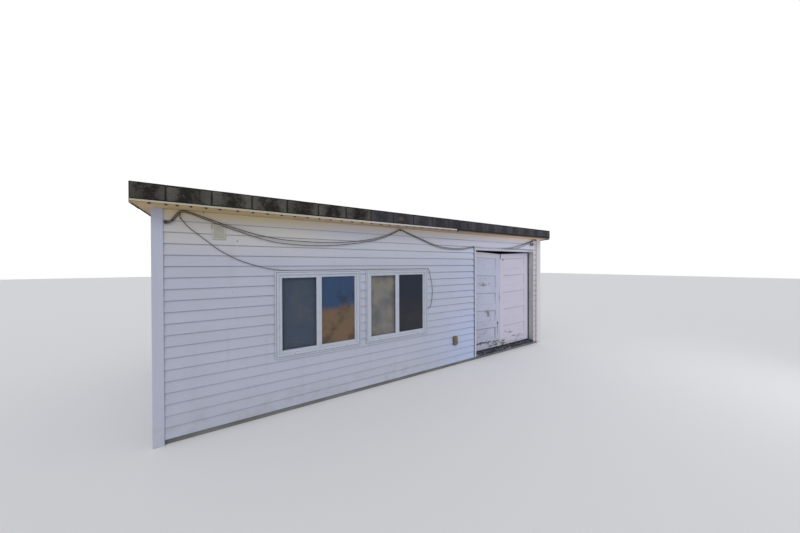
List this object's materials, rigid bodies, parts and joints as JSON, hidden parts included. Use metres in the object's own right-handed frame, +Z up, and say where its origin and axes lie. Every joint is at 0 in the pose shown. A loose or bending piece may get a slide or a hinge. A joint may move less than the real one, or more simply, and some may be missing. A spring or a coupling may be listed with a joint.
{
  "type": "boathouse",
  "caption": "Low timber boathouse with lap siding, a shallow single-pitch roof, two slider windows and a recessed pair of old panelled doors that swing inward.",
  "frame": {"origin": "ground level, under the middle of the roof's outline", "axes": "+X along the front wall towards the doorway, +Y from the front wall to the back wall, +Z up"},
  "size_m": [7.5, 4.004, 2.8164],
  "materials": {
    "concrete": "rough cast concrete",
    "floor_boards": "worn boards",
    "sill_timber": "weathered and dark",
    "wall_timber": "bare framing and boards",
    "white_vinyl": "satin vinyl, a little dirty",
    "soffit_tan": "flat paint",
    "roof_timber": "bare rafters and boards",
    "shingle": "mineral granules, weathered",
    "white_metal": "white baked paint",
    "lining_grey": "dull grey capping",
    "window_white": "smooth white vinyl",
    "glass": "clear, reflecting",
    "screen_mesh": "fine dark mesh",
    "outlet_tan": "dull beige",
    "dark_steel": "black, rusting",
    "cable_black": "dull black sheath",
    "door_paint": "old white paint, peeling"
  },
  "bodies": {
    "building": {"foundation": "concrete", "floor": "floor_boards", "door_sill": "sill_timber", "front_wall": "wall_timber", "front_wall_header": "wall_timber", "front_wall_pier": "wall_timber", "back_wall": "wall_timber", "left_end_wall": "wall_timber", "right_end_wall": "wall_timber", "front_siding": "white_vinyl", "back_siding": "white_vinyl", "left_end_siding": "white_vinyl", "right_end_siding": "white_vinyl", "corner_posts": "white_vinyl", "soffit": "soffit_tan", "roof_deck": "roof_timber", "roof_covering": "shingle", "front_roof_band": "shingle", "back_roof_band": "shingle", "end_roof_bands": "shingle", "eave_strip": "white_metal", "door_stop_post": "wall_timber", "hinge_post": "sill_timber", "doorway_lining": "lining_grey", "doorway_trim": "white_vinyl", "window_1_trim": "white_vinyl", "window_1_frame": "window_white", "window_1_sashes": "window_white", "window_1_panes": "glass", "window_1_screen": "screen_mesh", "window_2_trim": "white_vinyl", "window_2_frame": "window_white", "window_2_sashes": "window_white", "window_2_panes": "glass", "window_2_screen": "screen_mesh", "outlet_cover": "outlet_tan", "cable_hooks": "dark_steel", "upper_cable": "cable_black", "second_cable": "cable_black", "lower_wire": "cable_black", "fixed_hinges": "dark_steel"},
    "left_door": {"left_door_leaf": "door_paint", "left_leaf_hinges": "dark_steel"},
    "right_door": {"right_door_leaf": "door_paint", "right_leaf_hinges": "dark_steel", "door_bolt": "dark_steel"}
  },
  "joints": [
    {"name": "left_door_hinge", "type": "hinge", "parent": "building", "child": "left_door", "pos_m": [1.11, -1.691, 1.2], "axis": [0, 0, 1], "range_deg": [0, 100]},
    {"name": "right_door_hinge", "type": "hinge", "parent": "building", "child": "right_door", "pos_m": [3.24, -1.691, 1.2], "axis": [0, 0, -1], "range_deg": [0, 100]}
  ]
}
